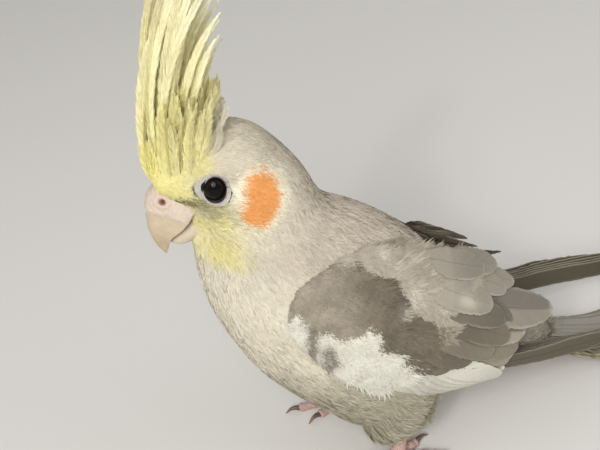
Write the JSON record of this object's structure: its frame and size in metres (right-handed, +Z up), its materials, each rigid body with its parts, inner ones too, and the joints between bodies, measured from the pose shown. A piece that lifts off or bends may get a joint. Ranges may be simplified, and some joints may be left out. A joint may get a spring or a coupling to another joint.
{
  "type": "cockatiel",
  "caption": "Life-size still model of a standing cockatiel with a raised crest, folded wings, long tail laid on the floor and gripping feet.",
  "frame": {"origin": "middle of the footprint's bounding box, on the floor under the feet and tail", "axes": "+Z up, the bird faces -X with its tail along +X, its left side is -Y"},
  "size_m": [0.2504, 0.0598, 0.1706],
  "materials": {
    "plumage_head": "short soft feathers, yellow face, grey crown, orange ear patch",
    "plumage_body": "soft matt feathers, pale breast to grey-brown back",
    "plumage_wing": "smooth overlapping flight feathers with a white patch",
    "plumage_tail": "smooth long feathers, barred grey and yellow",
    "plumage_crest": "loose slender yellow feathers",
    "cere_skin": "bare soft pink skin",
    "bill_horn": "semi-gloss horn, grey-beige",
    "eye": "wet, near black",
    "foot_skin": "granular scales, pink-grey",
    "claw_horn": "dark brown horn"
  },
  "bodies": {
    "root": {"bill_lower": "bill_horn", "bill_upper": "bill_horn", "cere": "cere_skin", "claw_left_1": "claw_horn", "claw_left_2": "claw_horn", "claw_left_3": "claw_horn", "claw_left_4": "claw_horn", "claw_right_1": "claw_horn", "claw_right_2": "claw_horn", "claw_right_3": "claw_horn", "claw_right_4": "claw_horn", "crest": "plumage_crest", "eye_left": "eye", "eye_right": "eye", "foot_left": "foot_skin", "foot_right": "foot_skin", "head": "plumage_head", "neck": "plumage_body", "tail": "plumage_tail", "thigh_left": "plumage_body", "thigh_right": "plumage_body", "torso": "plumage_body", "wing_left": "plumage_wing", "wing_right": "plumage_wing"}
  },
  "joints": []
}
